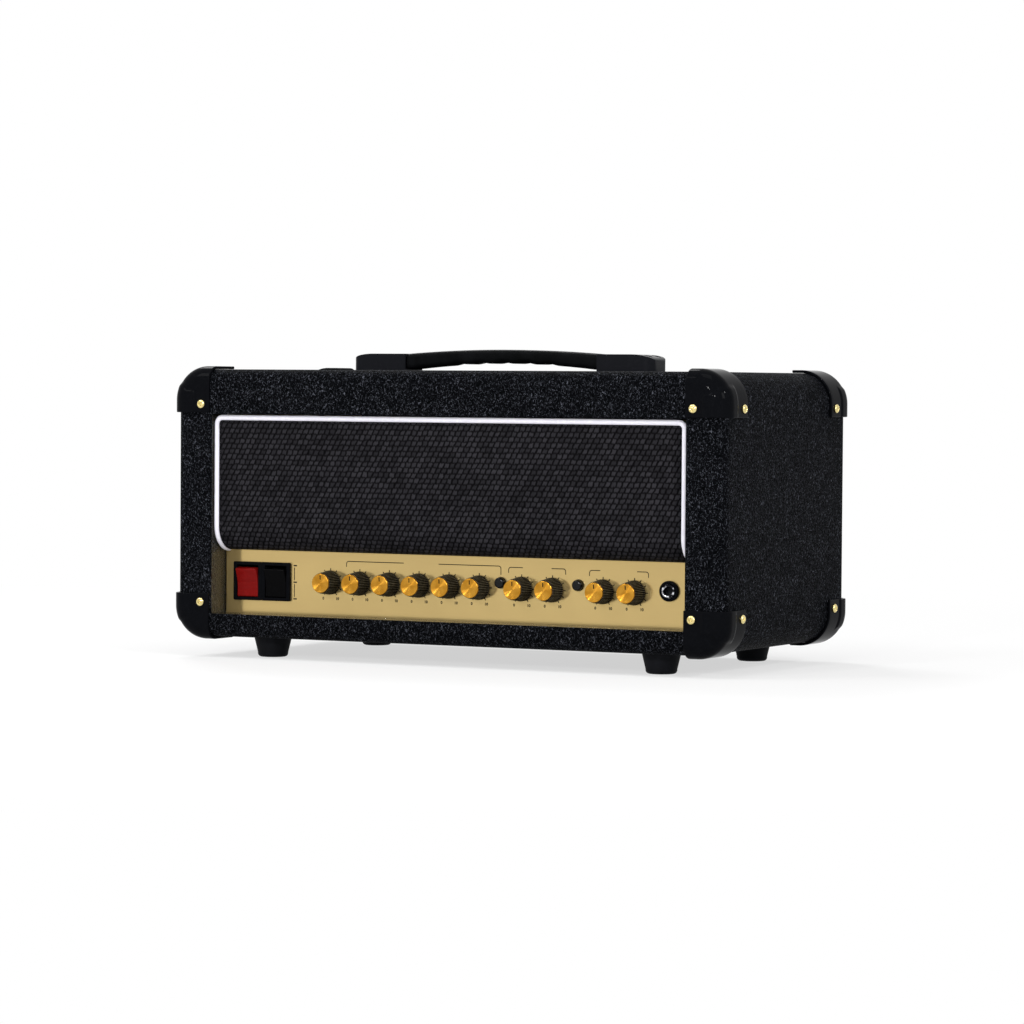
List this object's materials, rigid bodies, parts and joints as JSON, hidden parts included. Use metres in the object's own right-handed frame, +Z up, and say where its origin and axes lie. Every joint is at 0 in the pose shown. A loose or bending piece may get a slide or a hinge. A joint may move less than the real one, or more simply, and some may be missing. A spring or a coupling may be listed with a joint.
{
  "type": "guitar amplifier head",
  "caption": "Guitar amplifier head: black vinyl box with corner protectors and a strap handle, a cloth fret, a gold control panel with knobs and rocker switches, and a valve chassis inside.",
  "frame": {"origin": "centre of the bounding box at the plane the feet rest on", "axes": "+Z up, -Y out of the front with the controls, +X to the right seen from the front"},
  "size_m": [0.5048, 0.2498, 0.2535],
  "materials": {
    "plywood": "bare birch plywood",
    "vinyl": "black vinyl covering with a levant grain",
    "black_plastic": "polished black moulded plastic",
    "brass": "plated brass",
    "rubber": "moulded black rubber",
    "zinc_steel": "zinc plated steel",
    "strap_vinyl": "soft black moulded vinyl",
    "grille_cloth": "black woven cloth",
    "white_vinyl": "white vinyl piping",
    "gold_panel": "satin gold",
    "black_steel": "satin black paint",
    "aluminium": "stamped",
    "chrome": "nickel plated",
    "circuit_board": "green solder resist",
    "matt_plastic": "satin black moulded plastic",
    "red_plastic": "translucent dark red",
    "knob_plastic": "black with a spun gold cap",
    "capacitor_sleeve": "shrunk plastic sleeve",
    "transformer_steel": "black lacquered laminations",
    "copper_winding": "enamelled winding in tape",
    "valve_glass": "clear glass",
    "ceramic": "glazed ceramic"
  },
  "bodies": {
    "cabinet": {"top_board": "plywood", "bottom_board": "plywood", "left_board": "plywood", "right_board": "plywood", "front_frame": "plywood", "rear_frame": "plywood", "cleats": "plywood", "covering": "vinyl", "corner_protectors": "black_plastic", "protector_screws": "brass", "rubber_feet": "rubber", "foot_screws": "zinc_steel", "handle_caps": "black_plastic", "handle_screws": "zinc_steel", "fret_board": "plywood", "grille_cloth": "grille_cloth", "piping": "white_vinyl", "fret_screws": "zinc_steel", "control_panel": "gold_panel", "chassis": "zinc_steel", "machine_bolts": "zinc_steel", "rear_panel": "black_steel", "rear_grille": "black_steel", "rear_screws": "black_steel", "potentiometers": "aluminium", "potentiometer_nuts": "chrome", "control_board": "circuit_board", "power_switch_housing": "matt_plastic", "output_switch_housing": "matt_plastic", "push_switches": "matt_plastic", "input_jack": "matt_plastic", "input_jack_nut": "matt_plastic", "main_board": "circuit_board", "board_pillars": "brass", "filter_capacitors": "capacitor_sleeve", "transformer_cores": "transformer_steel", "transformer_coils": "copper_winding", "preamp_valves": "valve_glass", "power_valves": "valve_glass", "valve_sockets": "ceramic", "valve_retainers": "zinc_steel", "mains_inlet": "matt_plastic", "fuse_holder": "matt_plastic", "rear_jacks": "matt_plastic", "rear_jack_nuts": "matt_plastic"},
    "knob_1_body": {"knob_1": "knob_plastic"},
    "knob_2_body": {"knob_2": "knob_plastic"},
    "knob_3_body": {"knob_3": "knob_plastic"},
    "knob_4_body": {"knob_4": "knob_plastic"},
    "knob_5_body": {"knob_5": "knob_plastic"},
    "knob_6_body": {"knob_6": "knob_plastic"},
    "knob_7_body": {"knob_7": "knob_plastic"},
    "knob_8_body": {"knob_8": "knob_plastic"},
    "knob_9_body": {"knob_9": "knob_plastic"},
    "knob_10_body": {"knob_10": "knob_plastic"},
    "power_rocker_body": {"power_rocker": "red_plastic"},
    "output_rocker_body": {"output_rocker": "matt_plastic"},
    "tone_button_body": {"tone_button": "matt_plastic"},
    "channel_button_body": {"channel_button": "matt_plastic"},
    "handle_body": {"handle_strap": "strap_vinyl"}
  },
  "joints": [
    {"name": "knob_1_turn", "type": "hinge", "parent": "cabinet", "child": "knob_1_body", "pos_m": [-0.11449, -0.095, 0.0633], "axis": [0, -1, 0], "range_deg": [-150, 150]},
    {"name": "knob_2_turn", "type": "hinge", "parent": "cabinet", "child": "knob_2_body", "pos_m": [-0.0871, -0.095, 0.0633], "axis": [0, -1, 0], "range_deg": [-150, 150]},
    {"name": "knob_3_turn", "type": "hinge", "parent": "cabinet", "child": "knob_3_body", "pos_m": [-0.05971, -0.095, 0.0633], "axis": [0, -1, 0], "range_deg": [-150, 150]},
    {"name": "knob_4_turn", "type": "hinge", "parent": "cabinet", "child": "knob_4_body", "pos_m": [-0.03231, -0.095, 0.0633], "axis": [0, -1, 0], "range_deg": [-150, 150]},
    {"name": "knob_5_turn", "type": "hinge", "parent": "cabinet", "child": "knob_5_body", "pos_m": [-0.00492, -0.095, 0.0633], "axis": [0, -1, 0], "range_deg": [-150, 150]},
    {"name": "knob_6_turn", "type": "hinge", "parent": "cabinet", "child": "knob_6_body", "pos_m": [0.02247, -0.095, 0.0633], "axis": [0, -1, 0], "range_deg": [-150, 150]},
    {"name": "knob_7_turn", "type": "hinge", "parent": "cabinet", "child": "knob_7_body", "pos_m": [0.06056, -0.095, 0.0633], "axis": [0, -1, 0], "range_deg": [-150, 150]},
    {"name": "knob_8_turn", "type": "hinge", "parent": "cabinet", "child": "knob_8_body", "pos_m": [0.08795, -0.095, 0.0633], "axis": [0, -1, 0], "range_deg": [-150, 150]},
    {"name": "knob_9_turn", "type": "hinge", "parent": "cabinet", "child": "knob_9_body", "pos_m": [0.13247, -0.095, 0.0633], "axis": [0, -1, 0], "range_deg": [-150, 150]},
    {"name": "knob_10_turn", "type": "hinge", "parent": "cabinet", "child": "knob_10_body", "pos_m": [0.15986, -0.095, 0.0633], "axis": [0, -1, 0], "range_deg": [-150, 150]},
    {"name": "power_switch", "type": "hinge", "parent": "cabinet", "child": "power_rocker_body", "pos_m": [-0.1922, -0.0896, 0.0625], "axis": [1, 0, 0], "range_deg": [-18, 0]},
    {"name": "output_switch", "type": "hinge", "parent": "cabinet", "child": "output_rocker_body", "pos_m": [-0.1654, -0.0896, 0.0625], "axis": [1, 0, 0], "range_deg": [-18, 0]},
    {"name": "tone_press", "type": "slide", "parent": "cabinet", "child": "tone_button_body", "axis": [0, 1, 0], "range_m": [0, 0.0025], "stiffness_N_per_m": 600, "springref_m": -0.001},
    {"name": "channel_press", "type": "slide", "parent": "cabinet", "child": "channel_button_body", "axis": [0, 1, 0], "range_m": [0, 0.0025], "stiffness_N_per_m": 600, "springref_m": -0.001},
    {"name": "handle_lift", "type": "slide", "parent": "cabinet", "child": "handle_body", "axis": [0, 0, 1], "range_m": [0, 0.004]}
  ]
}
